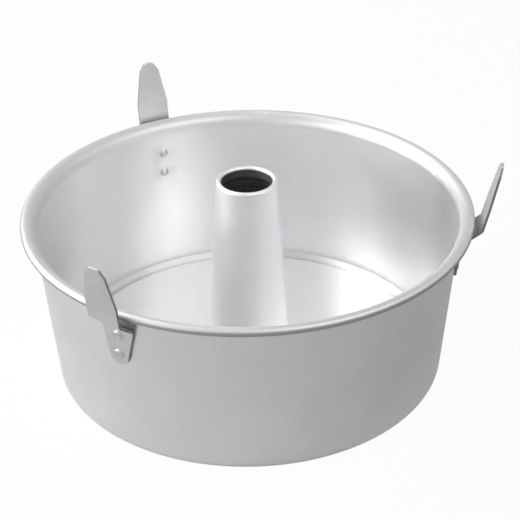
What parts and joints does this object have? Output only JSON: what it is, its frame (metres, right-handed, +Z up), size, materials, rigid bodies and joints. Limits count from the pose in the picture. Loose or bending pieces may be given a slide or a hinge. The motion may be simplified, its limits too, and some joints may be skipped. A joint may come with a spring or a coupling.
{
  "type": "angel food cake pan",
  "caption": "Round tapered baking pan with a rolled rim, a loose floor with a central chimney that lifts out, and riveted legs it stands on upside down to cool.",
  "frame": {"origin": "centre of the ring that the pan stands on, on the standing plane", "axes": "+Z up along the axis of the pan, +X through the upper rivet of the leg named right"},
  "size_m": [0.2802, 0.2678, 0.1383],
  "materials": {
    "shell_sheet": "spun sheet, satin",
    "floor_sheet": "pressed sheet, satin",
    "tube_sheet": "drawn sheet, satin",
    "leg_strip": "stamped strip, matt",
    "rivet_metal": "headed wire, smooth"
  },
  "bodies": {
    "pan": {"pan_shell": "shell_sheet", "leg_right": "leg_strip", "leg_back_left": "leg_strip", "leg_front_left": "leg_strip", "rivet_right_upper": "rivet_metal", "rivet_right_lower": "rivet_metal", "rivet_back_left_upper": "rivet_metal", "rivet_back_left_lower": "rivet_metal", "rivet_front_left_upper": "rivet_metal", "rivet_front_left_lower": "rivet_metal"},
    "core": {"base_plate": "floor_sheet", "centre_tube": "tube_sheet"}
  },
  "joints": [
    {"name": "core_lift", "type": "slide", "parent": "pan", "child": "core", "axis": [0, 0, 1], "range_m": [0, 0.15]}
  ]
}
